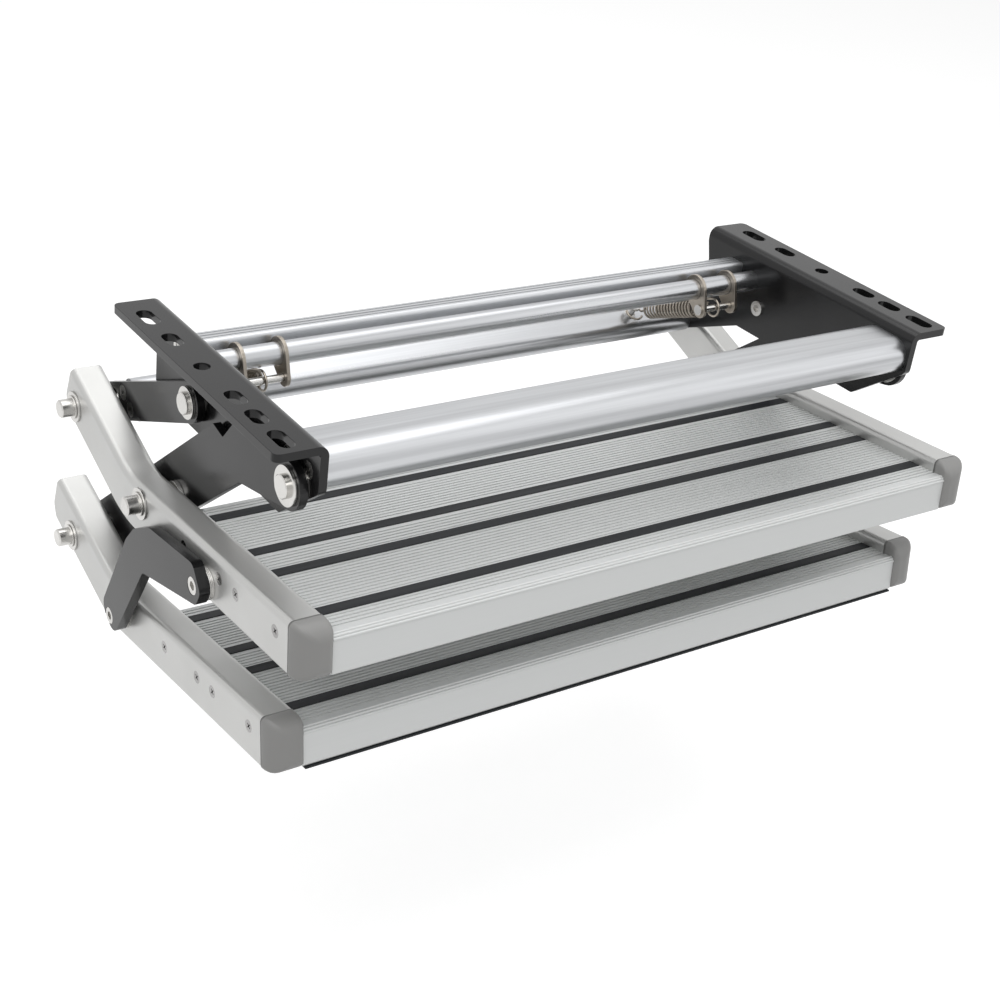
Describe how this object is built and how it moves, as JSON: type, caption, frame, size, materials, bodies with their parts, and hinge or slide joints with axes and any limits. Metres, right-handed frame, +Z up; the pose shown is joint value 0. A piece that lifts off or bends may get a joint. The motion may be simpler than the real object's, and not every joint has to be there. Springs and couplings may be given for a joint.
{
  "type": "pull-out rv step",
  "caption": "Folding entrance step for a caravan: ribbed aluminium treads on a sprung pin linkage under slotted flange brackets",
  "frame": {"origin": "midway between the two round bolt holes, on the top face of the bracket flanges", "axes": "+Z up, +X across the vehicle to the right seen from outside, +Y into the vehicle, so the step unfolds towards -Y"},
  "size_m": [0.6342, 0.406, 0.2605],
  "materials": {
    "powder_coat": "semi-gloss black powder coat",
    "tread_aluminium": "ribbed extrusion, matte anodised",
    "rail_aluminium": "matte anodised",
    "tube_aluminium": "bright mill finish with drawing lines",
    "strip_rubber": "matte ribbed rubber",
    "cap_plastic": "fine-grained mid grey",
    "dark_plastic": "matte dark grey",
    "spring_steel": "brownish nickel plate",
    "stainless": "turned stainless steel"
  },
  "bodies": {
    "bracket_frame": {"left_bracket": "powder_coat", "right_bracket": "powder_coat", "front_cross_tube": "tube_aluminium", "rear_flat_tube": "tube_aluminium", "rear_round_tube": "tube_aluminium", "cross_tube_screws": "stainless", "left_spring_saddle": "spring_steel", "right_spring_saddle": "spring_steel", "spring_pins": "spring_steel", "bracket_pins": "stainless", "bracket_washers": "stainless", "left_spring": "spring_steel", "right_spring": "spring_steel"},
    "long_arms": {"left_long_arm": "powder_coat", "right_long_arm": "powder_coat"},
    "short_links": {"left_short_link": "powder_coat", "right_short_link": "powder_coat", "link_cross_tube": "tube_aluminium", "link_tube_screws": "stainless", "spring_anchor_screws": "stainless"},
    "upper_step": {"upper_tread": "tread_aluminium", "upper_grip_strips": "strip_rubber", "upper_left_rail": "rail_aluminium", "upper_right_rail": "rail_aluminium", "upper_left_cap": "cap_plastic", "upper_right_cap": "cap_plastic", "upper_rail_plugs": "dark_plastic", "upper_rail_screws": "stainless", "upper_studs": "stainless", "upper_stud_washers": "stainless", "upper_stud_clips": "stainless"},
    "lower_step": {"lower_tread": "tread_aluminium", "lower_grip_strips": "strip_rubber", "lower_left_rail": "rail_aluminium", "lower_right_rail": "rail_aluminium", "lower_left_cap": "cap_plastic", "lower_right_cap": "cap_plastic", "lower_rail_plugs": "dark_plastic", "lower_rail_screws": "stainless", "lower_studs": "stainless", "lower_stud_washers": "stainless", "lower_stud_clips": "stainless", "lower_edge_trim": "dark_plastic"},
    "hook_links": {"left_hook_link": "powder_coat", "right_hook_link": "powder_coat", "hook_bolts": "stainless", "hook_nuts": "stainless", "hook_washers": "stainless"}
  },
  "joints": [
    {"name": "long_arm_swing", "type": "hinge", "parent": "bracket_frame", "child": "long_arms", "pos_m": [0, -0.1053, -0.0387], "axis": [-1, 0, 0], "range_deg": [0, 66], "stiffness_Nm_per_rad": 16, "springref_deg": -137.51},
    {"name": "short_link_swing", "type": "hinge", "parent": "bracket_frame", "child": "short_links", "pos_m": [0, 0.0408, -0.04733], "axis": [-1, 0, 0], "range_deg": [0, 82.91], "deforming": ["left_spring", "right_spring"]},
    {"name": "upper_step_level", "type": "hinge", "parent": "long_arms", "child": "upper_step", "pos_m": [0, 0.0523, -0.128], "axis": [-1, 0, 0], "range_deg": [-71.05, 0]},
    {"name": "lower_step_level", "type": "hinge", "parent": "long_arms", "child": "lower_step", "pos_m": [0, 0.1818, -0.2245], "axis": [-1, 0, 0], "range_deg": [-74.05, 0]},
    {"name": "hook_link_swing", "type": "hinge", "parent": "upper_step", "child": "hook_links", "pos_m": [0, -0.0573, -0.1315], "axis": [-1, 0, 0], "range_deg": [0, 66.11]}
  ],
  "couplings": [
    {"joint": "short_link_swing", "follows": "long_arm_swing", "ratio": 1.2555},
    {"joint": "upper_step_level", "follows": "long_arm_swing", "ratio": -1.0758},
    {"joint": "lower_step_level", "follows": "long_arm_swing", "ratio": -1.1212},
    {"joint": "hook_link_swing", "follows": "long_arm_swing", "ratio": 1.001}
  ]
}
